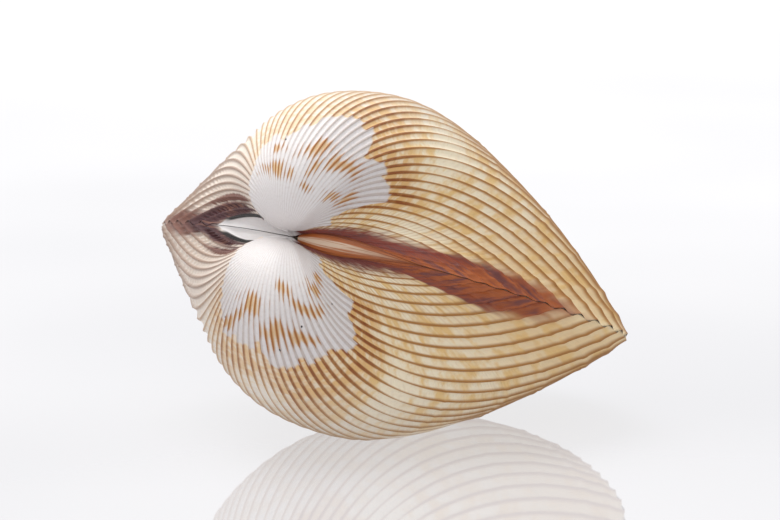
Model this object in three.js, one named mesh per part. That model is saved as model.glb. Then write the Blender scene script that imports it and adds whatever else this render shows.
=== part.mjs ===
// A closed cockle shell: two ribbed valves that meet along a toothed edge, and the ligament that joins them.
// It is posed the way it rests on a table, on a small worn spot of the left valve. Units are millimetres, +Z up.
// The valves are worked out in the shell's own frame first: X towards the hind end, Y from the hinge down to the
// opening edge, Z out of the opening plane towards the right valve. The left valve is the mirror image in Z.
import * as THREE from "three";

// How the shell grows: the outline of the opening edge turns about a hinge axis and shrinks as it turns.
const growth = {
  shrink: 0.775, // natural log of the shrinking, per radian of turn
  axis: new THREE.Vector3(1, -0.359, 0.066).normalize(),
  beak: new THREE.Vector3(0, 0, 0.45), // the point that the spiral winds into
  roundFrom: 2.0, // radians: from here the tip of the beak rounds off
  end: 2.8,
};

// The edge of a valve, from the beak round the front, the underside and the hind end, back to the beak.
const outline = new THREE.CatmullRomCurve3(
  [
    [0.5, 0.9],
    [-7.3, 5.0],
    [-17.2, 19.3],
    [-17.0, 29.4],
    [-5.0, 43.8],
    [12.4, 49.9],
    [32.7, 44.9],
    [40.3, 34.2],
    [42.8, 22.0],
    [33.7, 9.6],
    [21.5, 1.0],
    [10.0, -1.9],
  ].map(([x, y]) => new THREE.Vector3(x, y, 0)),
  true,
  "centripetal",
);
outline.arcLengthDivisions = 1200;
const middle = new THREE.Vector3(13, 22, 0); // the walls are made thick towards this point of the opening

const ribs = {
  from: 0.072, // share of the edge's length where the first rib starts, behind the smooth lunule
  to: 0.875, // and where the last one ends, at the smooth escutcheon
  // distance between ribs at the edge, in mm, at shares of the edge's length
  spacing: [
    [0.07, 3.2],
    [0.14, 2.8],
    [0.2, 3.0],
    [0.3, 3.3],
    [0.37, 4.0],
    [0.42, 3.9],
    [0.5, 2.9],
    [0.56, 2.6],
    [0.64, 2.7],
    [0.75, 3.2],
    [0.84, 3.2],
    [0.875, 1.9],
  ],
  height: 0.8, // crest above groove at the edge
};

const wall = { edge: 2.4, hingePlate: 5.5, thinning: 0.8, cavityRoundFrom: 1.5, cavityEnd: 2.15 };
const gap = 0.3; // between the valves, and round the ligament
const tooth = 0.36; // how far the edge rises and falls where ribs meet grooves
const hingeTeeth = [
  { x: 3.0, y: 3.6, radius: 1.5, rise: -0.9 },
  { x: -0.6, y: 4.6, radius: 1.5, rise: 0.9 },
];
const ligament = { from: 0.905, to: 0.985, halfWidth: 1.25, depth: 0.95 };

// How it lies: turned about Z, X, Y and then X again, in degrees.
const pose = { yaw: -4.85, tilt: -6.36, roll: 14.17, nod: -10.07 };
const wear = { depth: 0.65, radius: 7 }; // the flat spot that it rests on

const rows = { outer: 20, contact: 2, inner: 7 };

const edgeLength = outline.getLength();
const onHinge = (along) =>
  THREE.MathUtils.smoothstep(along, 0.86, 0.93) + 1 - THREE.MathUtils.smoothstep(along, 0.03, 0.09);

function ribSpacing(along) {
  const list = ribs.spacing;
  const i = Math.max(1, list.findIndex(([at]) => at >= along));
  const [[a, wa], [b, wb]] = [list[i - 1], list[i]];
  return wa + ((wb - wa) * (along - a)) / (b - a);
}

// The columns of the surface: a groove and a crest for each rib, and even steps where there are no ribs.
function edgeColumns() {
  const columns = [];
  for (let i = 0; i < 5; i++) columns.push({ along: 0.004 + (i * (ribs.from - 0.004)) / 5, crest: 0, clear: 1 });
  let along = ribs.from;
  for (let half = 0; along < ribs.to; half++) {
    columns.push({ along, crest: half % 2 ? 1 : -1, clear: 0 });
    along += ribSpacing(along) / 2 / edgeLength;
  }
  for (let i = 1; i <= 9; i++) columns.push({ along: ribs.to + (i * (0.996 - ribs.to)) / 9, crest: 0, clear: 1 });
  return columns;
}
const columns = edgeColumns();

// The ribs don't quite follow the growth: they lean back as they near the beak.
function lean(along, turn) {
  const { smoothstep } = THREE.MathUtils;
  const front =
    (0.6 + 0.4 * smoothstep(along, 0.07, 0.14)) * smoothstep(along, 0, 0.06) * (1 - smoothstep(along, 0.2, 0.5));
  const back = smoothstep(along, 0.4, 0.76) * (1 - smoothstep(along, 0.88, 1));
  return 0.1 * front * (turn / 2.33) ** 4 + 0.05 * back * Math.tanh(turn / 1.4);
}

// The ribs stand low at both ends of the row of ribs, and grow with the shell.
function ribLift(column, turn, side) {
  if (column.clear) return 0;
  const ends =
    THREE.MathUtils.smoothstep(column.along, ribs.from, 0.12) *
    (1 - THREE.MathUtils.smoothstep(column.along, 0.79, ribs.to));
  return side * column.crest * (ribs.height / 2) * (0.3 + 0.7 * ends) * Math.exp(-growth.shrink * turn);
}

// Where the two valves meet: teeth along the edge, two hinge teeth, and a trough for the ligament.
function seamHeight(point, column, inward) {
  let z = column.clear ? 0 : -column.crest * tooth * (1 - 0.7 * inward);
  for (const t of hingeTeeth) {
    const far = Math.hypot(point.x - t.x, point.y - t.y) / t.radius;
    if (far < 1) z += t.rise * (0.5 + 0.5 * Math.cos(Math.PI * far));
  }
  return z;
}
function troughLift(along) {
  const t = THREE.MathUtils.clamp((along - ligament.from) / (ligament.to - ligament.from), 0, 1);
  return ligament.halfWidth * Math.sin(Math.PI * t) ** 0.6;
}

// A point of the spiral surface. keep is how much of the outline is left: 1 on the outside, less on the inside.
function spiralPoint(turn, along, keep, roundFrom, end, tip) {
  const point = outline.getPointAt(along).sub(middle).multiplyScalar(keep).add(middle).sub(growth.beak);
  const rounding = turn > roundFrom ? Math.sqrt(Math.max(0, 1 - ((turn - roundFrom) / (end - roundFrom)) ** 2)) : 1;
  const size = Math.exp(-growth.shrink * turn) * (tip ? rounding : 1);
  return point.applyAxisAngle(growth.axis, turn).multiplyScalar(size).add(growth.beak);
}
function outerPoint(turn, along) {
  const point = spiralPoint(turn, along, 1, growth.roundFrom, growth.end, true);
  point.z += troughLift(along) * Math.exp(-2 * turn);
  return point;
}
function outerNormal(turn, along, side) {
  const step = 1e-3;
  const a = outerPoint(turn + step, along).sub(outerPoint(Math.max(0, turn - step), along));
  const b = outerPoint(turn, Math.min(0.999, along + step)).sub(outerPoint(turn, Math.max(0.001, along - step)));
  return b.cross(a).normalize().multiplyScalar(side);
}
function innerPoint(turn, along) {
  const spread = outline.getPointAt(along).distanceTo(middle);
  const thick = wall.edge + (wall.hingePlate - wall.edge) * onHinge(along);
  const { cavityRoundFrom: from, cavityEnd: end } = wall;
  const rounding = turn > from ? Math.sqrt(Math.max(0, 1 - ((turn - from) / (end - from)) ** 2)) : 1;
  const keep = Math.max(0.05, 1 - (thick * Math.exp(growth.shrink * wall.thinning * turn)) / spread) * rounding;
  return spiralPoint(turn, along, keep, 0, 1, false);
}

// From the shell's own frame to the way it lies on the table.
const turned = new THREE.Matrix4();
for (const [axis, degrees] of [["Z", pose.yaw], ["X", pose.tilt], ["Y", pose.roll], ["X", pose.nod]])
  turned.premultiply(new THREE.Matrix4()["makeRotation" + axis](THREE.MathUtils.degToRad(degrees)));

// The lowest point of the left valve, ribs left out: it rests there.
function findLowest() {
  let lowest = new THREE.Vector3(0, 0, Infinity);
  for (let turn = 0.2; turn < 1.8; turn += 0.01)
    for (let along = 0.2; along < 0.85; along += 0.0025) {
      const p = outerPoint(turn, along);
      p.z *= -1;
      p.applyMatrix4(turned);
      if (p.z < lowest.z) lowest = p;
    }
  return lowest;
}
const lowest = findLowest();
const toTable = new THREE.Matrix4().makeTranslation(-lowest.x, -lowest.y, -lowest.z - wear.depth).multiply(turned);

// Loops of points, closed with a tip at each end, make one solid.
function solidFromLoops(firstTip, loops, lastTip, flip) {
  const n = loops[0].length;
  const points = [firstTip, ...loops.flat(), lastTip];
  const index = [];
  const face = (a, b, c) => (flip ? index.push(a, c, b) : index.push(a, b, c));
  const at = (row, i) => 1 + row * n + (i % n);
  for (let i = 0; i < n; i++) {
    face(0, at(0, i), at(0, i + 1));
    for (let row = 0; row < loops.length - 1; row++) {
      face(at(row, i), at(row + 1, i), at(row + 1, i + 1));
      face(at(row, i), at(row + 1, i + 1), at(row, i + 1));
    }
    face(points.length - 1, at(loops.length - 1, i + 1), at(loops.length - 1, i));
  }
  const geometry = new THREE.BufferGeometry().setFromPoints(points);
  geometry.setIndex(index);
  geometry.computeVertexNormals();
  return geometry;
}

function makeValve(side) {
  const place = (point) => {
    point.z *= side;
    return point.applyMatrix4(toTable);
  };
  const ribbed = (turn, column) => {
    const along = column.along + lean(column.along, turn);
    const base = outerPoint(turn, along);
    const low = place(base.clone());
    const worn = side < 0 ? THREE.MathUtils.smoothstep(low.length(), wear.radius, wear.radius * 1.5) : 1;
    base.addScaledVector(outerNormal(turn, along, 1), ribLift(column, turn, side) * worn);
    base.z = Math.max(base.z, gap / 2);
    return base;
  };
  const loops = [];
  for (let i = rows.outer - 1; i >= 0; i--) {
    const turn = growth.end * 0.985 * (i / (rows.outer - 1));
    loops.push(
      columns.map((column) => {
        const point = ribbed(turn, column);
        if (i === 0) {
          point.z = gap / 2 + troughLift(column.along) + side * seamHeight(point, column, 0);
        }
        return point;
      }),
    );
  }
  for (let i = 1; i <= rows.contact; i++) {
    const inward = i / rows.contact;
    loops.push(
      columns.map((column) => {
        const outer = outerPoint(0, column.along).setZ(0);
        const point = outer.lerp(innerPoint(0, column.along).setZ(0), inward);
        point.z = gap / 2 + side * seamHeight(point, column, inward);
        return point;
      }),
    );
  }
  for (let i = 1; i < rows.inner; i++) {
    const turn = wall.cavityEnd * (i / rows.inner) ** 0.9;
    loops.push(columns.map((column) => innerPoint(turn, column.along)));
  }
  const deepest = spiralPoint(wall.cavityEnd, 0.5, 0, 0, 1, false);
  const tip = growth.beak.clone();
  const geometry = solidFromLoops(
    place(tip),
    loops.map((loop) => loop.map(place)),
    place(deepest),
    side > 0,
  );
  // the worn spot is flat on the table
  const position = geometry.attributes.position;
  for (let i = 0; i < position.count; i++) position.setZ(i, Math.max(0, position.getZ(i)));
  return geometry;
}

// The ligament lies in the trough behind the beaks: a curved spindle with an oval section.
function makeLigament() {
  const stations = 14;
  const around = 12;
  const loops = [];
  const centre = (t) => {
    const along = ligament.to + (ligament.from - ligament.to) * t;
    const point = outline.getPointAt(along);
    const tangent = outline.getTangentAt(along);
    const up = new THREE.Vector3(tangent.y, -tangent.x, 0);
    return { along, point, up };
  };
  for (let i = 1; i < stations; i++) {
    const { along, point, up } = centre(i / stations);
    const wide = Math.max(0.12, troughLift(along) - 0.28);
    const deep = Math.max(0.12, ligament.depth * (troughLift(along) / ligament.halfWidth));
    loops.push(
      Array.from({ length: around }, (_, j) => {
        const a = (2 * Math.PI * j) / around;
        return point
          .clone()
          .addScaledVector(up, deep * Math.sin(a) + 0.1)
          .setZ(wide * Math.cos(a))
          .applyMatrix4(toTable);
      }),
    );
  }
  const ends = [0.02, 0.98].map((t) => {
    const { point, up } = centre(t);
    return point.addScaledVector(up, 0.1).applyMatrix4(toTable);
  });
  return solidFromLoops(ends[0], loops, ends[1], false);
}

const shell = new THREE.Group();
shell.name = "cockle_shell";
function add(name, geometry, material) {
  const mesh = new THREE.Mesh(geometry, new THREE.MeshStandardMaterial(material));
  mesh.name = name;
  shell.add(mesh);
}
add("right_valve", makeValve(1), { color: "#dcc29a", roughness: 0.45, metalness: 0 });
add("left_valve", makeValve(-1), { color: "#d6bb92", roughness: 0.45, metalness: 0 });
add("ligament", makeLigament(), { color: "#8a5a33", roughness: 0.5, metalness: 0 });

export default shell;
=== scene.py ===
import math

import bpy
import numpy as np
from mathutils import Matrix, Vector


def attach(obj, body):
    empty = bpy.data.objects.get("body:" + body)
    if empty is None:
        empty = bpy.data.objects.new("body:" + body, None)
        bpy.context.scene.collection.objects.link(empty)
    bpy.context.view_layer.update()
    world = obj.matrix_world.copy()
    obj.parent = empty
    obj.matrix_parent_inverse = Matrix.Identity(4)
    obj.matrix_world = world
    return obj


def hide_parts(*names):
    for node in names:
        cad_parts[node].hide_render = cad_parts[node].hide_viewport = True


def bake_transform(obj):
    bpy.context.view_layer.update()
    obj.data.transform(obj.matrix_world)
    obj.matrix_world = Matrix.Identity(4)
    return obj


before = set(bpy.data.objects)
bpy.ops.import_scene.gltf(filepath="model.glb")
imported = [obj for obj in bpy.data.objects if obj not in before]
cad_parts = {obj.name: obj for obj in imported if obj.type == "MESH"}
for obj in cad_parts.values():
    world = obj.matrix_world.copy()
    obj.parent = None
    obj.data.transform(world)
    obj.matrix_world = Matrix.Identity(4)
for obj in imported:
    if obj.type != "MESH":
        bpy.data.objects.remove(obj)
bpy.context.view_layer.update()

millimetre = 0.001
scene = bpy.context.scene
scene.view_settings.view_transform = "Standard"

# how the shell grows: its edge turns about the hinge axis and shrinks as it turns (mm and radians)
growth = {
    "shrink": 0.775,
    "axis": (1, -0.359, 0.066),
    "beak": (0, 0, 0.45),
    "roundFrom": 2.0,  # from here to the end the tip of the beak is rounded off
    "end": 2.8,
    # the edge of a valve, from the beak round the front, the underside and the hind end
    "outline": [(0.5, 0.9), (-7.3, 5.0), (-17.2, 19.3), (-17.0, 29.4), (-5.0, 43.8), (12.4, 49.9),
                (32.7, 44.9), (40.3, 34.2), (42.8, 22.0), (33.7, 9.6), (21.5, 1.0), (10.0, -1.9)],
    "middle": (13, 22),
    "fineStep": 0.0071,    # turn between two rows of the mesh at the edge
    "coarseStep": 0.0197,  # and near the beak
    "tipFrom": 0.93,       # share of the whole turn where the rows start to draw together
    "tipRows": 9,
}
lying = {
    "yaw": -4.85, "tilt": -6.36, "roll": 14.17, "nod": -10.07,
    "wornDepth": 0.65, "wornRadius": 7.0, "wornFade": 1.5,
    "searchTurns": (0.2, 1.8, 0.01), "searchPlaces": (0.2, 0.85, 0.0025),
}
ribs = {
    "from": 0.072,  # share of the edge where the first rib starts, behind the lunule
    "to": 0.875,    # where the last one ends, at the escutcheon
    "spacing": [(0.07, 3.2), (0.14, 2.8), (0.2, 3.0), (0.3, 3.3), (0.37, 4.0), (0.42, 3.9), (0.5, 2.9),
                (0.56, 2.6), (0.64, 2.7), (0.75, 3.2), (0.84, 3.2), (0.875, 1.9)],
    "firstWidth": 3.2,
    "lastWidth": 1.9,
    "height": 0.8,
    "pointsPerRib": 8,
    "beadTurn": 0.075,     # one bead each so many radians, on the front ribs
    "fineBeadTurn": 0.04,  # and beside the ligament
}
plainColumns = {"start": 0.004, "front": 22, "back": 36}  # of the mesh, where there are no ribs
leaning = {"front": 0.1, "fullTurn": 2.33, "lastTurn": 2.4, "power": 4, "back": 0.05, "backTurn": 1.4}
wall = {
    "edge": 2.4, "hingePlate": 5.5, "frontPlate": (0.03, 0.09), "hindPlate": (0.86, 0.93),
    "thinning": 0.8, "leastKept": 0.05, "roundFrom": 1.5, "end": 2.15, "rows": 34, "rowCrowding": 0.9,
}
seam = {
    "gap": 0.08, "tooth": 0.24, "reach": 0.03, "innerLoss": 0.7,
    "teethFrom": (0.06, 0.09), "teethTo": (0.85, 0.885), "smallFrom": (0.77, 0.82), "smallLoss": 0.7,
    "rows": (0.015, 0.05, 0.1, 0.3, 0.55, 0.8, 1.0),  # shares of the way from the lip to the inside
    # rows of the contact wall that keep the shell's finish, which paints them dark as shade between the
    # valves
    "paintedShadeRows": 3,
}
hingeTeeth = [
    {"at": (3.0, 3.6), "radius": 1.5, "rise": -0.9},
    {"at": (-0.6, 4.6), "radius": 1.5, "rise": 0.9},
]
trough = {"from": 0.9, "to": 0.9985, "halfWidth": 1.2, "skew": 1.9, "taper": 0.75, "flattening": 2}


def smooth(low, high, value):
    t = np.clip((np.asarray(value, float) - low) / (np.asarray(high) - low), 0, 1)
    return t * t * (3 - 2 * t)


def fade(low, high, value):
    return 1 - smooth(low, high, value)


# a closed curve through the outline's points, with even steps along its length
def curveThrough(points, steps=4000):
    points = np.array(points, float)
    count = len(points)
    place = np.linspace(0, count, steps + 1)
    first = np.floor(place).astype(int) % count
    t = (place - np.floor(place))[:, None]
    a, b, c, d = (points[(first + k) % count] for k in (-1, 0, 1, 2))
    ab, bc, cd = (((q - p) ** 2).sum(1)[:, None] ** 0.25 for p, q in ((a, b), (b, c), (c, d)))
    leave = ((b - a) / ab - (c - a) / (ab + bc) + (c - b) / bc) * bc
    arrive = ((c - b) / bc - (d - b) / (bc + cd) + (d - c) / cd) * bc
    square = 3 * (c - b) - 2 * leave - arrive
    cube = 2 * (b - c) + leave + arrive
    curve = b + leave * t + square * t**2 + cube * t**3
    lengths = np.concatenate([[0], np.cumsum(np.linalg.norm(np.diff(curve, axis=0), axis=1))])
    return curve, lengths


edgeCurve, edgeLengths = curveThrough(growth["outline"])
edgeLength = edgeLengths[-1]
middle = np.array(growth["middle"], float)
beak = np.array(growth["beak"], float)
hingeAxis = np.array(growth["axis"], float) / np.linalg.norm(growth["axis"])


def edgePoint(along):
    where = (np.asarray(along) % 1.0) * edgeLength
    return np.stack([np.interp(where, edgeLengths, edgeCurve[:, k]) for k in (0, 1)], -1)


# points of the spiral surface; keep is how much of the outline is left, size how big it is there
def spiral(turn, along, keep, size):
    flat = middle + (edgePoint(along) - middle) * keep[..., None]
    arm = np.concatenate([flat, np.zeros(flat.shape[:-1] + (1,))], -1) - beak
    cosine, sine = np.cos(turn)[..., None], np.sin(turn)[..., None]
    onAxis = hingeAxis * (arm @ hingeAxis)[..., None]
    swung = arm * cosine + np.cross(hingeAxis, arm) * sine + onAxis * (1 - cosine)
    return beak + swung * size[..., None]


# 1 up to the start, then down to 0 at the end like a quarter of a circle
def rounding(turn, start, end):
    return np.sqrt(np.clip(1 - (np.clip(turn - start, 0, None) / (end - start)) ** 2, 0, 1))


# half the width of the ligament's trough
def troughLift(along):
    t = np.clip((along - trough["from"]) / (trough["to"] - trough["from"]), 0, 1)
    return trough["halfWidth"] * np.sin(math.pi * t ** trough["skew"]).clip(0) ** trough["taper"]


def outside(turn, along):
    size = np.exp(-growth["shrink"] * turn) * rounding(turn, growth["roundFrom"], growth["end"])
    point = spiral(turn, along, np.ones_like(along), size)
    point[..., 2] += troughLift(along) * np.exp(-trough["flattening"] * turn)
    return point


def inside(turn, along):
    spread = np.linalg.norm(edgePoint(along) - middle, axis=-1)
    onHinge = smooth(*wall["hindPlate"], along) + 1 - smooth(*wall["frontPlate"], along)
    thick = wall["edge"] + (wall["hingePlate"] - wall["edge"]) * onHinge
    thick = thick * np.exp(growth["shrink"] * wall["thinning"] * turn)
    keep = np.maximum(wall["leastKept"], 1 - thick / spread)
    keep = keep * rounding(turn, wall["roundFrom"], wall["end"])
    return spiral(turn, along, keep, np.exp(-growth["shrink"] * turn))


# from the shell's own frame to the way it lies on its worn spot
lieDown = Matrix.Identity(3)
for axis, name in (("Z", "yaw"), ("X", "tilt"), ("Y", "roll"), ("X", "nod")):
    lieDown = Matrix.Rotation(math.radians(lying[name]), 3, axis) @ lieDown
lieDown = np.array(lieDown)
searchTurn, searchAlong = np.meshgrid(
    np.arange(*lying["searchTurns"]), np.arange(*lying["searchPlaces"]), indexing="ij")
underside = (outside(searchTurn, searchAlong) * (1, 1, -1)) @ lieDown.T
lowest = underside[np.unravel_index(underside[..., 2].argmin(), searchTurn.shape)]
shift = np.array([-lowest[0], -lowest[1], -lowest[2] - lying["wornDepth"]])


def toTable(points):
    return points @ lieDown.T + shift


shellOrigin = Vector(shift) * millimetre
print("shell frame stands at", [round(v, 2) for v in shift])

# where each half rib starts, as shares of the edge
halfSteps = [ribs["from"]]
while halfSteps[-1] < ribs["to"]:
    at = halfSteps[-1]
    halfSteps.append(at + np.interp(at, *zip(*ribs["spacing"])) / 2 / edgeLength)
halfSteps = np.array(halfSteps)
ribCount = (len(halfSteps) - 1) / 2


# columns of the mesh: each rib has the same number of points
def columnPlaces():
    steps = int(ribCount * ribs["pointsPerRib"])
    phases = np.arange(steps + 1) / ribs["pointsPerRib"]
    ribbed = np.interp(phases * 2, np.arange(len(halfSteps)), halfSteps)
    start = plainColumns["start"]
    front = np.linspace(start, ribbed[0], plainColumns["front"], endpoint=False)
    back = np.linspace(ribbed[-1], 1 + start, plainColumns["back"])[1:]
    return np.concatenate([front, ribbed, back])


# how many ribs lie before a place; the left valve has grooves where the right one has ribs
def ribPhase(along, side):
    before = (along - halfSteps[0]) * edgeLength / ribs["firstWidth"]
    after = ribCount + (along - halfSteps[-1]) * edgeLength / ribs["lastWidth"]
    phase = np.interp(along, halfSteps, np.arange(len(halfSteps)) / 2)
    phase = np.where(along < halfSteps[0], before, np.where(along > halfSteps[-1], after, phase))
    return phase + (0 if side > 0 else 0.5)


# ribs don't quite follow the growth: they lean back as they near the beak
def lean(column, turn):
    front = (0.6 + 0.4 * smooth(0.07, 0.14, column)) * smooth(0, 0.06, column) * fade(0.2, 0.5, column)
    back = smooth(0.4, 0.76, column) * fade(0.88, 1, column)
    upward = (np.minimum(turn, leaning["lastTurn"]) / leaning["fullTurn"]) ** leaning["power"]
    return front * leaning["front"] * upward + back * leaning["back"] * np.tanh(turn / leaning["backTurn"])


columns = columnPlaces()


# rows of the mesh, from the edge to the tip of the beak
def turnRows():
    turns = [0.0]
    while turns[-1] < growth["end"] * growth["tipFrom"]:
        fineStep = growth["fineStep"] * math.exp(growth["shrink"] * turns[-1])
        turns.append(turns[-1] + min(fineStep, growth["coarseStep"]))
    left = growth["end"] - turns[-1]
    tipRows = growth["tipRows"]
    turns += [growth["end"] - left * (1 - k / tipRows) ** 2 for k in range(1, tipRows + 1)]
    return np.array(turns)


# a piece of surface made from a grid primitive, whose rows and columns take the given places (mm)
def gridPiece(name, points):
    rows, cols = points.shape[:2]
    bpy.ops.object.select_all(action="DESELECT")
    steps = {"x_subdivisions": cols - 1, "y_subdivisions": rows - 1}
    bpy.ops.mesh.primitive_grid_add(**steps, size=1, location=(0, 0, 0))
    piece = bpy.context.object
    piece.name = name
    mesh = piece.data
    mesh.name = name
    flat = np.zeros(len(mesh.vertices) * 3, np.float32)
    mesh.vertices.foreach_get("co", flat)
    flat = flat.reshape(-1, 3)
    col = np.rint((flat[:, 0] + 0.5) * (cols - 1)).astype(int)
    row = np.rint((flat[:, 1] + 0.5) * (rows - 1)).astype(int)
    mesh.vertices.foreach_set("co", (points[row, col] * millimetre).astype(np.float32).ravel())
    corner = np.zeros(len(mesh.loops), np.int32)
    mesh.loops.foreach_get("vertex_index", corner)
    return piece, row[corner], col[corner]


# a value for each face corner, so that the seam of the grid doesn't smear it
def paintCorners(piece, name, values, row, col):
    layer = piece.data.attributes.new(name, "FLOAT_VECTOR", "CORNER")
    layer.data.foreach_set("vector", np.stack(values, -1)[row, col].astype(np.float32).ravel())


def closeAndSmooth(piece):
    bpy.ops.object.select_all(action="DESELECT")
    piece.select_set(True)
    bpy.context.view_layer.objects.active = piece
    bpy.ops.object.mode_set(mode="EDIT")
    bpy.ops.mesh.select_all(action="SELECT")
    bpy.ops.mesh.remove_doubles(threshold=1e-7)
    bpy.ops.mesh.normals_make_consistent(inside=False)
    bpy.ops.object.mode_set(mode="OBJECT")
    bpy.ops.object.shade_smooth()


# where the colours lie on the right valve, 1, and on the left one, -1, by share of the edge and turn.
# A patch is its share, turn, half width, half height and slope
stains = {
    1: {
        # how far up from the edge the white of the beak starts
        "white": [(0.0, 1.4), (0.07, 2.5), (0.12, 2.4), (0.18, 2.15), (0.24, 2.02), (0.29, 1.98),
                  (0.34, 1.84), (0.39, 1.86), (0.44, 1.93), (0.5, 1.77), (0.55, 1.62), (0.62, 1.56),
                  (0.65, 1.58), (0.68, 1.7), (0.71, 1.56), (0.75, 1.46), (0.785, 1.24), (0.82, 1.17),
                  (0.84, 1.5), (0.87, 1.74), (0.905, 1.5), (0.93, 2.1), (0.975, 2.1), (0.988, -0.1),
                  (1.01, -0.1)],
        # where along the edge the escutcheon starts, at each turn
        "escutcheon": [(0, 0.755), (0.1, 0.785), (0.24, 0.835), (0.3, 0.862), (0.5, 0.885), (1.0, 0.9),
                       (1.3, 0.911), (1.6, 0.918), (2.2, 0.925)],
        "plum": 0.2,
        "flecks": [(0.66, 1.97, 0.08, 0.13, -3.1), (0.75, 2.13, 0.06, 0.1, -3.2),
                   (0.8, 1.78, 0.03, 0.16, -2.5), (0.436, 2.25, 0.1, 0.08, 0.9),
                   (0.555, 2.04, 0.055, 0.1, -1.5), (0.59, 2.38, 0.04, 0.05, 0),
                   (0.42, 2.03, 0.03, 0.06, 1)],
        "bands": [(0.112, 0.0, 0.06, 0.28, 0), (0.092, 0.5, 0.026, 1.0, 0), (0.122, 1.1, 0.012, 0.9, 0)],
        # how brown the shell is just below the white
        "brown": [(0.17, 0), (0.25, 0.3), (0.5, 0.4), (0.6, 0.8), (0.83, 1), (0.86, 0.45), (0.9, 0)],
        "pale": [(0.68, 0.98, 0.12, 0.2, 0), (0.86, 0.6, 0.05, 0.3, 0)],
        "specks": [(0.43, 1.96), (0.355, 2.19)],
    },
    -1: {
        "white": [(0.0, 1.4), (0.07, 2.5), (0.16, 2.45), (0.22, 2.1), (0.27, 1.9), (0.31, 1.8),
                  (0.36, 1.62), (0.4, 1.66), (0.457, 1.7), (0.5, 1.74), (0.53, 1.57), (0.59, 1.62),
                  (0.64, 1.57), (0.68, 1.52), (0.715, 1.43), (0.757, 1.31), (0.79, 1.37), (0.83, 1.22),
                  (0.85, 1.55), (0.88, 1.72), (0.915, 1.4), (0.94, 2.1), (0.975, 2.1), (0.988, -0.1),
                  (1.01, -0.1)],
        "escutcheon": [(0, 0.77), (0.1, 0.785), (0.2, 0.81), (0.26, 0.893), (0.5, 0.9), (1.0, 0.912),
                       (1.5, 0.921), (2.2, 0.93)],
        "plum": 0.75,
        "flecks": [(0.545, 1.87, 0.055, 0.13, 0), (0.62, 1.79, 0.04, 0.08, -2),
                   (0.665, 2.0, 0.07, 0.1, -3.2), (0.47, 2.08, 0.055, 0.12, 0.5),
                   (0.395, 1.83, 0.045, 0.09, 4), (0.745, 2.03, 0.05, 0.13, -2.6),
                   (0.8, 2.0, 0.03, 0.14, -2), (0.6, 2.25, 0.04, 0.08, -3)],
        "bands": [(0.11, 0.0, 0.055, 0.25, 0), (0.086, 0.35, 0.016, 0.7, 0), (0.115, 1.3, 0.014, 1.0, 0)],
        "brown": [(0.17, 0), (0.25, 0.55), (0.5, 0.65), (0.6, 0.85), (0.83, 1), (0.86, 0.45), (0.9, 0)],
        "pale": [(0.67, 0.94, 0.13, 0.2, 0), (0.46, 1.3, 0.08, 0.15, 0)],
        "specks": [(0.339, 1.73), (0.543, 1.75), (0.61, 1.87), (0.735, 1.65)],
    },
}
brownBand = {"widthFrom": (0.6, 0.75), "widths": (0.62, 0.42), "solid": -0.15}


# how far inside the nearest patch a place is: 1 in its middle, 0 on its outline and less outside
def insidePatches(along, turn, patches):
    shares = []
    for at, height, halfWidth, halfHeight, slope in patches:
        across = (along - at) / halfWidth
        up = (turn - height - slope * (along - at)) / halfHeight
        shares.append(1 - np.sqrt(across**2 + up**2))
    return np.max(shares, axis=0)


# the relief of the outside: pairs are the shares of the edge or the turns where something comes or goes
relief = {
    "ribsCome": (0.068, 0.09), "ribsGo": (0.84, 0.89), "ribsGoUp": (1.8, 2.5),
    "growFirst": (0.072, 0.12), "growNext": (0.1, 0.26), "firstShare": 0.4, "shrinkLast": (0.8, 0.875),
    "leastHeight": 0.35, "grooveNarrowness": 2.8,
    "beadHeight": 0.15, "beadSize": 0.7, "beadSwing": 0.02, "beadSwings": 40,
    "beadsCome": (0.07, 0.09), "beadsGo": (0.2, 0.3), "beadsGoUp": (2.1, 2.5), "beadsComeUp": (0, 0.2),
    "onCrest": (-0.6, 0.6), "lipHeight": 0.4, "lip": (0, 0.06),
    "lineAt": 0.069, "lineWidth": 0.0045, "lineDepth": 0.55, "lineComesUp": (0.03, 0.25),
    "swellingAt": 0.04, "swellingWidth": 0.025, "swelling": 0.35, "swellingComesUp": (0.0, 0.3),
    "lineSize": 0.6,
    "rests": ((0.055, 0.12), (0.13, 0.16), (0.27, 0.1), (0.42, 0.12), (0.7, 0.08)),  # turn and depth
    "restWidth": 0.012, "restSwing": 0.012, "restSwings": 9, "restsCome": (0.1, 0.2),
}


def hump(value, at, width):
    return np.exp(-(((value - at) / width) ** 2))


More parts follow.
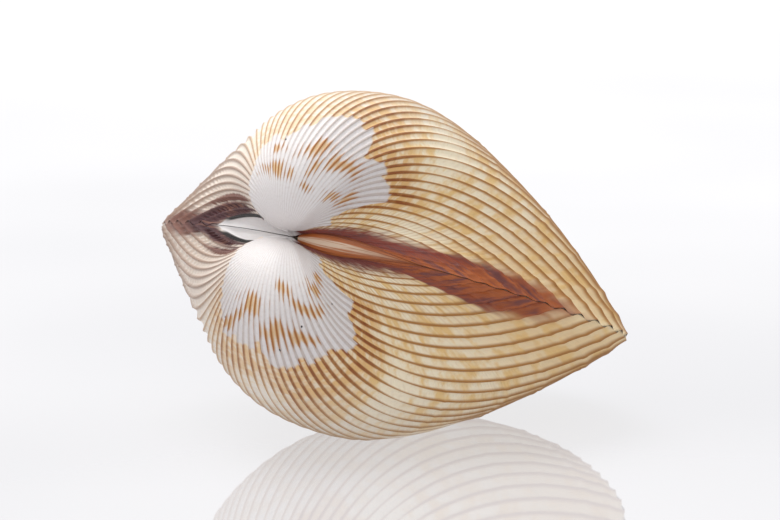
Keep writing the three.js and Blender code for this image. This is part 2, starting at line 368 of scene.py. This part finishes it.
# how far the outside stands out from the plain spiral; wave is 1 on a rib and -1 in a groove
def reliefLift(column, turn, wave):
    size = np.exp(-growth["shrink"] * turn)

    # rounded ribs with narrow grooves, lower near the lunule, and beaded there
    rows = smooth(*relief["ribsCome"], column) * fade(*relief["ribsGo"], column)
    first = relief["firstShare"]
    ends = first * smooth(*relief["growFirst"], column) + (1 - first) * smooth(*relief["growNext"], column)
    ends = ends * fade(*relief["shrinkLast"], column)
    heights = relief["leastHeight"] + (1 - relief["leastHeight"]) * ends
    profile = 1 - 2 * ((1 - wave) / 2) ** relief["grooveNarrowness"]
    lift = profile * ribs["height"] / 2 * heights * size * fade(*relief["ribsGoUp"], turn)
    swing = relief["beadSwing"] * np.sin(relief["beadSwings"] * column)
    beads = np.cos(2 * math.pi * (turn + swing) / ribs["beadTurn"])
    beaded = smooth(*relief["beadsCome"], column) * fade(*relief["beadsGo"], column)
    beadLift = relief["beadHeight"] * beads * beaded * size ** relief["beadSize"]
    beadLift = beadLift * smooth(*relief["onCrest"], wave)
    lift += beadLift * fade(*relief["beadsGoUp"], turn) * smooth(*relief["beadsComeUp"], turn)
    lift *= rows * (relief["lipHeight"] + (1 - relief["lipHeight"]) * smooth(*relief["lip"], turn))

    # the deep line round the lunule, and the swelling inside it
    line = hump(column, relief["lineAt"], relief["lineWidth"]) * smooth(*relief["lineComesUp"], turn)
    lift -= relief["lineDepth"] * size ** relief["lineSize"] * line
    swelling = hump(column, relief["swellingAt"], relief["swellingWidth"])
    swelling = swelling * smooth(*relief["swellingComesUp"], turn)
    lift += relief["swelling"] * size ** relief["lineSize"] * swelling

    # rests in the growth
    swing = relief["restSwing"] * np.sin(relief["restSwings"] * column)
    for at, depth in relief["rests"]:
        rest = hump(turn - at, swing, relief["restWidth"])
        lift -= depth * rest * smooth(*relief["restsCome"], column)
    return lift


def outwardNormal(turn, along, step=1e-3):
    rise = outside(turn + step, along) - outside(np.maximum(0, turn - step), along)
    run = outside(turn, along + step) - outside(turn, along - step)
    normal = np.cross(run, rise)
    return normal / (np.linalg.norm(normal, axis=-1, keepdims=True) + 1e-12)


# height of the edge at each column: its teeth and those of the hinge, which mesh with the other valve's
def seamHeight(points, wave, side, inward):
    ribbedEdge = smooth(*seam["teethFrom"], columns) * fade(*seam["teethTo"], columns)
    small = 1 - seam["smallLoss"] * smooth(*seam["smallFrom"], columns)
    height = -wave * side * seam["tooth"] * (1 - seam["innerLoss"] * inward) * ribbedEdge * small
    for tooth in hingeTeeth:
        far = np.hypot(points[..., 0] - tooth["at"][0], points[..., 1] - tooth["at"][1]) / tooth["radius"]
        dome = 0.5 + 0.5 * np.cos(math.pi * np.minimum(far, 1))
        height = height + tooth["rise"] * np.where(far < 1, dome, 0)
    return seam["gap"] / 2 + side * height


# the outside of a valve, with its relief, from the edge to the tip of the beak
def outerPoints(side, turns, edgeWave):
    column, turn = np.meshgrid(columns, turns)
    along = column + lean(column, turn)
    base = outside(turn, along)
    lift = reliefLift(column, turn, np.broadcast_to(edgeWave, column.shape))
    if side < 0:
        fromRest = np.linalg.norm(toTable(base * (1, 1, side)), axis=-1)
        lift = lift * smooth(lying["wornRadius"], lying["wornRadius"] * lying["wornFade"], fromRest)
    points = base + outwardNormal(turn, along) * lift[..., None]
    lip = seamHeight(points[0], edgeWave, side, 0)
    points[..., 2] = np.maximum(points[..., 2], 0) + lip * np.exp(-turn / seam["reach"])
    return points


# the wall that faces the other valve, then the hollow down to its deepest point
def innerPoints(side, lip, edgeWave, innerTurns):
    plate = inside(np.zeros_like(columns), columns)
    contact = []
    for inward in seam["rows"]:
        point = lip + (plate - lip) * inward
        point[:, 2] = seamHeight(point, edgeWave, side, inward)
        point[:, 2] += troughLift(columns) * fade(0, 0.5, inward)
        contact.append(point)
    column, turn = np.meshgrid(columns, innerTurns)
    end = np.array([wall["end"]])
    deepest = spiral(end, np.array([0.5]), np.zeros(1), np.exp(-growth["shrink"] * end))
    deepest = np.broadcast_to(deepest, (1, len(columns), 3))
    return np.concatenate([np.array(contact), inside(turn, column), deepest])


# the values that the valve's material reads at each place
def paintValve(piece, side, turns, row, col):
    stain = stains[side]
    column, turn = np.meshgrid(columns, turns)
    place = column + lean(column, np.clip(turn, 0, None))
    white = turn - np.interp(place, *zip(*stain["white"]))
    bandWidth = np.interp(place, brownBand["widthFrom"], brownBand["widths"])
    brown = smooth(-bandWidth, brownBand["solid"], white) * np.interp(place, *zip(*stain["brown"]))
    brown = brown - np.clip(insidePatches(place, turn, stain["pale"]), 0, 1)
    fleck = insidePatches(place, turn, stain["flecks"])
    escutcheon = place - np.interp(turn, *zip(*stain["escutcheon"]))
    front = insidePatches(column, turn, stain["bands"])
    paintCorners(piece, "growth", [column, turn, ribPhase(column, side)], row, col)
    paintCorners(piece, "stain", [white, fleck, brown], row, col)
    paintCorners(piece, "zones", [escutcheon, front, relief["lineAt"] - column], row, col)


# side 1 is the right valve, on top, and -1 the left one, which the shell lies on
def makeValve(side):
    turns = turnRows()
    innerTurns = wall["end"] * (np.arange(1, wall["rows"]) / wall["rows"]) ** wall["rowCrowding"]
    edgeWave = -np.cos(2 * math.pi * ribPhase(columns, side))
    outer = outerPoints(side, turns, edgeWave)
    points = np.concatenate([outer[::-1], innerPoints(side, outer[0], edgeWave, innerTurns)])
    points = toTable(points * (1, 1, side))
    points[..., 2] = np.maximum(points[..., 2], 0)
    points[:, -1] = points[:, 0]

    piece, row, col = gridPiece("rightValveShell" if side > 0 else "leftValveShell", points)
    allTurns = np.concatenate([turns[::-1], -np.array(seam["rows"]), innerTurns, [wall["end"]]])
    paintValve(piece, side, allTurns, row, col)
    piece.data.materials.append(ribbedShellMaterial(piece.name, stains[side]))
    piece.data.materials.append(porcelain)
    # the first rows of the contact wall keep the shell's finish with its painted shade; the rest of the
    # inside is porcelain
    faceRow = row.reshape(-1, 4).min(axis=1)
    hollow = faceRow >= len(turns) - 1 + seam["paintedShadeRows"]
    piece.data.polygons.foreach_set("material_index", hollow.astype(np.int32))
    closeAndSmooth(piece)
    print(piece.name, "has", len(piece.data.polygons), "faces")
    return piece


# a colour from its hex code, as linear light
def colour(code):
    parts = [int(code[i:i + 2], 16) / 255 for i in (0, 2, 4)]
    return [p / 12.92 if p < 0.04045 else ((p + 0.055) / 1.055) ** 2.4 for p in parts] + [1]


def addNode(tree, kind, values=None, **settings):
    node = tree.nodes.new("ShaderNode" + kind)
    for name, value in settings.items():
        setattr(node, name, value)
    for socket, value in (values or {}).items():
        if isinstance(value, bpy.types.NodeSocket):
            tree.links.new(value, node.inputs[socket])
        else:
            node.inputs[socket].default_value = value
    return node


def calc(tree, operation, first, second=0.0, third=0.0, clamp=False):
    values = {0: first, 1: second, 2: third}
    return addNode(tree, "Math", values, operation=operation, use_clamp=clamp).outputs[0]


def between(tree, value, low, high, toLow=0.0, toHigh=1.0):
    values = {"Value": value, "From Min": low, "From Max": high, "To Min": toLow, "To Max": toHigh}
    return addNode(tree, "MapRange", values, interpolation_type="SMOOTHSTEP").outputs[0]


def blendColour(tree, factor, first, second, mode="MIX"):
    node = addNode(tree, "Mix", {0: factor, 6: first, 7: second}, data_type="RGBA", blend_type=mode)
    return node.outputs[2]


def vector(tree, x=0.0, y=0.0, z=0.0):
    return addNode(tree, "CombineXYZ", {0: x, 1: y, 2: z}).outputs[0]


def noise(tree, place, scale=1.0, detail=2.0, rough=0.5):
    values = {"Vector": place, "Scale": scale, "Detail": detail, "Roughness": rough}
    return addNode(tree, "TexNoise", values).outputs[0]


def times(tree, first, second):
    return calc(tree, "MULTIPLY", first, second)


def minus(tree, first, second):
    return calc(tree, "SUBTRACT", first, second)


# noise over two values, each stretched by its own scale; the layer keeps patterns apart
def streaky(tree, first, second, pattern):
    firstScale, secondScale = pattern["scales"]
    place = vector(tree, times(tree, first, firstScale), times(tree, second, secondScale), pattern["layer"])
    return noise(tree, place, 1.0, pattern["detail"], pattern["rough"])


speck = {"halfWidth": 0.003, "halfHeight": 0.012, "softness": 0.3}


# how far a place on the shell is from a speck's middle, in specks' sizes
def speckDistance(tree, along, turn, at, height):
    across = times(tree, minus(tree, along, at), 1 / speck["halfWidth"])
    up = times(tree, minus(tree, turn, height), 1 / speck["halfHeight"])
    return addNode(tree, "VectorMath", {0: vector(tree, across, up)}, operation="LENGTH").outputs["Value"]


def newMaterial(name):
    material = bpy.data.materials.new(name)
    material.use_nodes = True
    tree = material.node_tree
    shader = tree.nodes["Principled BSDF"]
    return material, tree, shader


# a fine relief that only the light sees
def addBump(tree, shader, height, finish):
    values = {"Height": height, "Distance": finish["bumpHeight"], "Strength": finish["bumpStrength"]}
    tree.links.new(addNode(tree, "Bump", values).outputs[0], shader.inputs["Normal"])


def readPlaces(tree, name):
    attribute = addNode(tree, "Attribute", attribute_name=name, attribute_type="GEOMETRY")
    return addNode(tree, "SeparateXYZ", {0: attribute.outputs["Vector"]}).outputs


shellFinish = {
    "cream": colour("fbeed3"), "tan": colour("efcb8a"), "paleRib": colour("f7efe3"),
    "groove": colour("ae7838"),
    "paleGroove": colour("c9a277"), "bandRib": colour("e9bd7c"), "bandGroove": colour("8f4a10"),
    "white": colour("eae5e4"), "whiteGroove": colour("c3b5ae"),
    "fleckRib": colour("e0bd8e"), "fleckGroove": colour("a8692c"),
    "frontRib": colour("f1e3d6"), "frontGroove": colour("a48876"),
    "purple": colour("50282c"), "brownBand": colour("865a4c"), "blackLine": colour("1d1717"),
    # painted shade for the walls where the valves meet: dark brown, reddish brown beside the ligament
    "paintedSeamShade": colour("2b1c15"), "troughWallShade": colour("5a2a1a"),
    "rust": colour("8c3826"), "orange": colour("ae5c28"), "plum": colour("763f3a"),
    "roughness": 0.36, "smoother": 0.06, "rougher": 0.12, "bumpHeight": 0.00012, "bumpStrength": 0.5,
    "subsurface": 0.06, "subsurfaceRadius": (1.0, 0.7, 0.5), "subsurfaceScale": 0.001,
}
patterns = {
    "ribs": {"scales": (5.3, 13.0), "layer": 0.0, "detail": 2.0, "rough": 0.6},
    "growthLines": {"scales": (1.5, 40.0), "layer": 5.0, "detail": 2.0, "rough": 0.5},
    "flecks": {"scales": (4.1, 5.0), "layer": 9.0, "detail": 1.0, "rough": 0.5},
    "escutcheon": {"scales": (150.0, 5.0), "layer": 0.0, "detail": 3.0, "rough": 0.6},
    "bumps": {"scales": (30.0, 160.0), "layer": 0.0, "detail": 2.0, "rough": 0.5},
    "clouds": {"along": 26.0, "turn": 11.0, "slope": 20.0, "layer": 2.0, "detail": 3.0, "rough": 0.6},
    "jitter": {"scale": 9.7, "layer": 3.1, "share": 0.35},
}
# shares of the edge where one look gives way to the next
zones = {
    "hind": (0.5, 0.68), "front": (0.3, 0.19), "frontBands": (0.1, 0.125), "dots": (0.125, 0.085),
    "fineBeads": (0.76, 0.83), "troughWallShade": (0.88, 0.92), "rustEnd": (0.999, 0.99),
}


def ribbedShellMaterial(name, stain):
    finish = shellFinish
    material, tree, shader = newMaterial(name + "Finish")
    along, turn, phase = readPlaces(tree, "growth")
    white, fleck, brown = readPlaces(tree, "stain")
    escutcheon, front, lunule = readPlaces(tree, "zones")

    # which rib, and how near its groove: 0 on top, 1 in the groove
    rib = calc(tree, "FLOOR", phase)
    across = times(tree, calc(tree, "ABSOLUTE", minus(tree, calc(tree, "FRACT", phase), 0.5)), 2.0)
    ribsShare = between(tree, escutcheon, -0.01, 0.015, 1.0, 0.35)
    bandWide = times(tree, brown, 0.18)
    groove = between(tree, calc(tree, "ADD", across, bandWide), 0.55, 0.9)
    groove = times(tree, groove, ribsShare)
    ribNoise = streaky(tree, rib, turn, patterns["ribs"])
    jitter = patterns["jitter"]
    ribJitter = noise(tree, vector(tree, times(tree, rib, jitter["scale"]), jitter["layer"], 0.0))
    ribJitter = minus(tree, ribJitter, 0.5)
    cloud = patterns["clouds"]
    cloudUp = calc(tree, "MULTIPLY_ADD", turn, cloud["turn"], times(tree, along, cloud["slope"]))
    cloudPlace = vector(tree, times(tree, along, cloud["along"]), cloudUp, cloud["layer"])
    clouds = noise(tree, cloudPlace, 1.0, cloud["detail"], cloud["rough"])
    fine = streaky(tree, phase, turn, patterns["growthLines"])

    # cream ribs with tan dashes, and brown grooves between them
    dashes = calc(tree, "ADD", times(tree, ribNoise, 0.45), times(tree, clouds, 0.55))
    pale = calc(tree, "MULTIPLY", brown, -1.0, clamp=True)
    tanShare = between(tree, calc(tree, "MULTIPLY_ADD", pale, -0.12, dashes), 0.42, 0.6)
    hind = between(tree, along, *zones["hind"])
    plain = blendColour(tree, hind, finish["paleRib"], finish["cream"])
    tanShare = times(tree, tanShare, calc(tree, "MULTIPLY_ADD", hind, 0.6, 0.35))
    nearEdge = times(tree, hind, between(tree, turn, 0.6, 0.15, 0.0, 0.55))
    tanShare = calc(tree, "MAXIMUM", tanShare, nearEdge)
    ribColour = blendColour(tree, tanShare, plain, finish["tan"])
    stained = calc(tree, "MAXIMUM", brown, 0.0)
    band = times(tree, stained, between(tree, dashes, 0.4, 0.54, 0.25, 1.0))
    ribColour = blendColour(tree, band, ribColour, finish["bandRib"])
    plainGroove = blendColour(tree, hind, finish["paleGroove"], finish["groove"])
    grooveColour = blendColour(tree, band, plainGroove, finish["bandGroove"])
    body = blendColour(tree, groove, ribColour, grooveColour)

    # small beads on the ribs beside the ligament
    beadAngle = calc(tree, "MULTIPLY_ADD", turn, 2 * math.pi / ribs["fineBeadTurn"], times(tree, rib, 2.4))
    beadColour = between(tree, calc(tree, "SINE", beadAngle), 0.0, 1.0, 0.0, 0.22)
    beadShare = times(tree, between(tree, along, *zones["fineBeads"]), beadColour)
    body = blendColour(tree, beadShare, body, finish["groove"])

    # grey and pink brown towards the lunule
    frontShare = between(tree, along, *zones["front"])
    frontLines = between(tree, across, 0.3, 0.9)
    frontBody = blendColour(tree, frontLines, finish["frontRib"], finish["frontGroove"])
    body = blendColour(tree, frontShare, body, frontBody)
    dark = between(tree, calc(tree, "MULTIPLY_ADD", ribNoise, 0.6, front), 0.25, 0.7)
    bandShare = between(tree, along, *zones["frontBands"])
    darkColour = blendColour(tree, bandShare, finish["purple"], finish["brownBand"])
    darkColour = blendColour(tree, between(tree, clouds, 0.5, 0.62), darkColour, finish["brownBand"])
    body = blendColour(tree, dark, body, darkColour)

    # dark dots in the grooves beside the lunule
    dots = times(tree, between(tree, along, *zones["dots"]), between(tree, across, 0.35, 0.75))
    dots = times(tree, dots, between(tree, turn, 0.5, 1.0))
    body = blendColour(tree, dots, body, finish["purple"])

    # the white beak, with flecks
    whiteEdge = calc(tree, "MULTIPLY_ADD", ribJitter, jitter["share"], white)
    whiteShare = between(tree, whiteEdge, -0.012, 0.015)
    whiteLines = times(tree, groove, between(tree, turn, 2.4, 1.6, 0.25, 0.8))
    whiteBody = blendColour(tree, whiteLines, finish["white"], finish["whiteGroove"])
    fleckLines = between(tree, across, 0.35, 0.85)
    fleckBody = blendColour(tree, fleckLines, finish["fleckRib"], finish["fleckGroove"])
    streak = streaky(tree, rib, turn, patterns["flecks"])
    fleckEdge = calc(tree, "MULTIPLY_ADD", minus(tree, streak, 0.5), 2.6, fleck)
    fleckEdge = calc(tree, "MULTIPLY_ADD", minus(tree, across, 0.5), 0.9, fleckEdge)
    whiteBody = blendColour(tree, between(tree, fleckEdge, -0.1, 0.75), whiteBody, fleckBody)
    body = blendColour(tree, whiteShare, body, whiteBody)

    # the lunule is white inside a black line
    blackLine = calc(tree, "ABSOLUTE", calc(tree, "ADD", lunule, 0.002))
    body = blendColour(tree, between(tree, lunule, -0.001, 0.002), body, finish["white"])
    blackShare = times(tree, between(tree, blackLine, 0.0068, 0.004), between(tree, turn, 2.15, 1.7))
    blackShare = times(tree, blackShare, between(tree, turn, 0.12, 0.3))
    body = blendColour(tree, blackShare, body, finish["blackLine"])

    # rust and plum streaks on the escutcheon
    streaks = streaky(tree, along, turn, patterns["escutcheon"])
    plumShare = between(tree, turn, 0.2, 0.45, 0.0, stain["plum"])
    plumShare = calc(tree, "MAXIMUM", plumShare, between(tree, streaks, 0.42, 0.62))
    rust = blendColour(tree, plumShare, finish["rust"], finish["plum"])
    nearSeam = times(tree, between(tree, turn, 0.3, 0.05), between(tree, streaks, 0.66, 0.42))
    rust = blendColour(tree, nearSeam, rust, finish["orange"])
    rustEdge = calc(tree, "MULTIPLY_ADD", minus(tree, ribNoise, 0.5), 0.05, escutcheon)
    rustShare = times(tree, between(tree, rustEdge, -0.018, 0.018), between(tree, turn, 2.3, 1.7))
    rustShare = times(tree, rustShare, between(tree, along, *zones["rustEnd"]))
    body = blendColour(tree, rustShare, body, rust)

    # a few black specks
    for at, height in stain["specks"]:
        far = minus(tree, speckDistance(tree, along, turn, at, height), 1.0)
        body = blendColour(tree, between(tree, far, 0.0, -speck["softness"]), body, finish["blackLine"])

    # the walls where the valves meet get painted shade: dark brown, reddish brown beside the ligament
    troughShadeShare = between(tree, along, *zones["troughWallShade"])
    wallShadeColour = blendColour(tree, troughShadeShare, finish["paintedSeamShade"], finish["troughWallShade"])
    body = blendColour(tree, between(tree, turn, -0.004, -0.02), body, wallShadeColour)

    # fine growth lines, in the colour, the shine and the surface
    lineShare = times(tree, between(tree, fine, 0.45, 0.75), 0.1)
    body = blendColour(tree, lineShare, body, finish["frontGroove"], "MULTIPLY")
    tree.links.new(body, shader.inputs["Base Color"])
    smoothest, roughest = finish["roughness"] - finish["smoother"], finish["roughness"] + finish["rougher"]
    tree.links.new(between(tree, fine, 0.3, 0.8, smoothest, roughest), shader.inputs["Roughness"])
    addBump(tree, shader, streaky(tree, along, turn, patterns["bumps"]), finish)
    shader.inputs["Subsurface Weight"].default_value = finish["subsurface"]
    shader.inputs["Subsurface Radius"].default_value = finish["subsurfaceRadius"]
    shader.inputs["Subsurface Scale"].default_value = finish["subsurfaceScale"]
    return material


porcelainFinish = {
    "white": colour("f3ede4"), "warm": colour("e6cfae"), "cloudScale": 120.0, "roughness": (0.2, 0.35),
    "lines": {"scales": (20.0, 60.0), "layer": 0.0, "detail": 2.0, "rough": 0.5},
    "bumpHeight": 0.00008, "bumpStrength": 0.4,
}


def porcelainMaterial():
    finish = porcelainFinish
    material, tree, shader = newMaterial("porcelainInside")
    along, turn = readPlaces(tree, "growth")[:2]
    place = addNode(tree, "TexCoord").outputs["Object"]
    clouds = noise(tree, place, finish["cloudScale"], 3.0)
    warm = times(tree, between(tree, clouds, 0.4, 0.65), between(tree, turn, 0.0, 0.8, 0.3, 0.8))
    tree.links.new(blendColour(tree, warm, finish["white"], finish["warm"]), shader.inputs["Base Color"])
    tree.links.new(between(tree, clouds, 0.3, 0.7, *finish["roughness"]), shader.inputs["Roughness"])
    addBump(tree, shader, streaky(tree, along, turn, finish["lines"]), finish)
    return material


porcelain = porcelainMaterial()
rightValve = makeValve(1)
leftValve = makeValve(-1)
for piece, node, body in ((rightValve, "right_valve", "right"), (leftValve, "left_valve", "left")):
    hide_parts(node)
    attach(piece, body)

# the ligament: a lens of horny cords in the trough behind the beaks
ligament = {
    "stations": 90, "around": 40, "from": 0.02, "length": 0.96,
    "play": -0.1, "depth": 0.95, "rise": 0.18, "cords": 5, "cordHeight": 0.05, "blendShare": 0.9,
    "cream": colour("d0b49b"), "amber": colour("a85c2a"), "brown": colour("6a2f1a"),
    "roughness": (0.3, 0.45),
    "streaks": {"scales": (3.0, 7.0), "layer": 0.0, "detail": 3.0, "rough": 0.6},
    "bumpHeight": 0.0001, "bumpStrength": 0.4,
}


def ligamentMaterial():
    material, tree, shader = newMaterial("hornyLigament")
    along, around = readPlaces(tree, "cords")[:2]
    streaks = streaky(tree, along, around, ligament["streaks"])
    edge = calc(tree, "ABSOLUTE", calc(tree, "ADD", around, 0.1))
    cord = calc(tree, "MULTIPLY_ADD", minus(tree, streaks, 0.5), 1.4, edge)
    pale = blendColour(tree, between(tree, cord, 0.1, 0.5), ligament["cream"], ligament["amber"])
    pale = blendColour(tree, between(tree, cord, 0.6, 1.0), pale, ligament["brown"])
    hind = blendColour(tree, between(tree, streaks, 0.4, 0.65), ligament["amber"], ligament["brown"])
    hindShare = between(tree, calc(tree, "MULTIPLY_ADD", streaks, 0.4, along), 0.6, 1.1)
    tree.links.new(blendColour(tree, hindShare, pale, hind), shader.inputs["Base Color"])
    tree.links.new(between(tree, streaks, 0.3, 0.7, *ligament["roughness"]), shader.inputs["Roughness"])
    addBump(tree, shader, streaks, ligament)
    return material


def makeLigament():
    t = np.linspace(0.0, 1.0, ligament["stations"])
    angle = np.linspace(0, 2 * math.pi, ligament["around"] + 1)
    along = trough["to"] + (trough["from"] - trough["to"]) * (ligament["from"] + ligament["length"] * t)
    point = edgePoint(along)
    tangent = edgePoint(along + 1e-4) - edgePoint(along - 1e-4)
    tangent /= np.linalg.norm(tangent, axis=1, keepdims=True)
    up = np.stack([tangent[:, 1], -tangent[:, 0]], -1)
    inBetween = np.sin(math.pi * t) > 1e-6  # both ends are drawn together to a point
    wide = np.maximum(0, troughLift(along) - ligament["play"]) * inBetween
    deep = ligament["depth"] * troughLift(along) / trough["halfWidth"] * inBetween
    ridges = 1 + ligament["cordHeight"] * np.cos(ligament["cords"] * 2 * angle)
    outward = deep[:, None] * np.sin(angle) * ridges + ligament["rise"]
    across = wide[:, None] * np.cos(angle)
    flat = point[:, None, :] + up[:, None, :] * outward[..., None]
    points = toTable(np.concatenate([flat, across[..., None]], -1))
    piece, row, col = gridPiece("hingeLigament", points)
    tGrid, angleGrid = np.meshgrid(t, angle, indexing="ij")
    paintCorners(piece, "cords", [tGrid, np.cos(angleGrid), np.sin(angleGrid)], row, col)
    piece.data.materials.append(ligamentMaterial())
    closeAndSmooth(piece)
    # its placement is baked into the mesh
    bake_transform(piece)
    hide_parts("ligament")
    print("ligament made")


makeLigament()

# floor, light and camera
table = {
    "size": 6.0, "colour": colour("58585e"), "roughness": 0.03, "ior": 1.85,
    "cloudColour": colour("ece9e8"), "cloudScale": 6.0, "clouds": 0.15,
    "glow": 0.44, "glowColour": (0.985, 0.98, 1, 1),
}


def makeTable():
    bpy.ops.object.select_all(action="DESELECT")
    bpy.ops.mesh.primitive_plane_add(size=table["size"], location=(0, 0, 0))
    floor = bpy.context.object
    floor.name = "paleTable"
    material, tree, shader = newMaterial("glossyPaleTable")
    place = addNode(tree, "TexCoord").outputs["Object"]
    tone = noise(tree, place, table["cloudScale"], 2.0)
    clouds = between(tree, tone, 0.3, 0.7, 0.0, table["clouds"])
    body = blendColour(tree, clouds, table["colour"], table["cloudColour"])
    tree.links.new(body, shader.inputs["Base Color"])
    shader.inputs["Roughness"].default_value = table["roughness"]
    shader.inputs["IOR"].default_value = table["ior"]
    shader.inputs["Emission Color"].default_value = table["glowColour"]
    shader.inputs["Emission Strength"].default_value = table["glow"]
    floor.data.materials.append(material)


def addSoftbox(name, place, size, power, aim):
    bpy.ops.object.light_add(type="AREA", location=place)
    lamp = bpy.context.object
    lamp.name = name
    lamp.data.shape = "RECTANGLE"
    lamp.data.size, lamp.data.size_y = size
    lamp.data.energy = power
    lamp.rotation_euler = (Vector(aim) - Vector(place)).to_track_quat("-Z", "Y").to_euler()


lights = {
    "overhead": {"place": (-0.2, 0.1, 0.7), "size": (0.6, 0.5), "power": 3.4},
    "front": {"place": (-0.45, -0.75, 0.45), "size": (0.3, 0.3), "power": 0.8},
    "aim": (0, 0, 0.02),
    "room": (0.68, 0.98),  # how bright the white room is in front of the shell and behind it
}
view = {
    "distance": 0.48, "elevation": 10.07, "aimRight": 0.0124, "aimDown": 0.0031,
    "lens": 181.8, "sensor": 36, "clipStart": 0.01,
}


def makeCamera():
    angle = math.radians(view["elevation"])
    away = Vector((0, math.cos(angle), -math.sin(angle)))
    up = Vector((0, math.sin(angle), math.cos(angle)))
    place = shellOrigin - away * view["distance"]
    aim = shellOrigin + Vector((view["aimRight"], 0, 0)) - up * view["aimDown"]
    bpy.ops.object.camera_add(location=place)
    camera = bpy.context.object
    camera.name = "tableCamera"
    camera.data.lens = view["lens"]
    camera.data.sensor_width = view["sensor"]
    camera.data.clip_start = view["clipStart"]
    camera.rotation_euler = (aim - place).to_track_quat("-Z", "Y").to_euler()
    scene.camera = camera


makeTable()
for name in ("overhead", "front"):
    lamp = lights[name]
    addSoftbox(name + "Softbox", lamp["place"], lamp["size"], lamp["power"], lights["aim"])
world = bpy.data.worlds.new("whiteRoom")
scene.world = world
world.use_nodes = True
room = world.node_tree
background = room.nodes["Background"]
background.inputs["Color"].default_value = (1, 1, 1, 1)
direction = addNode(room, "SeparateXYZ", {0: addNode(room, "TexCoord").outputs["Generated"]})
strength = between(room, direction.outputs["Y"], -1.0, 1.0, *lights["room"])
room.links.new(strength, background.inputs["Strength"])
makeCamera()
print("stage, lights and camera placed")
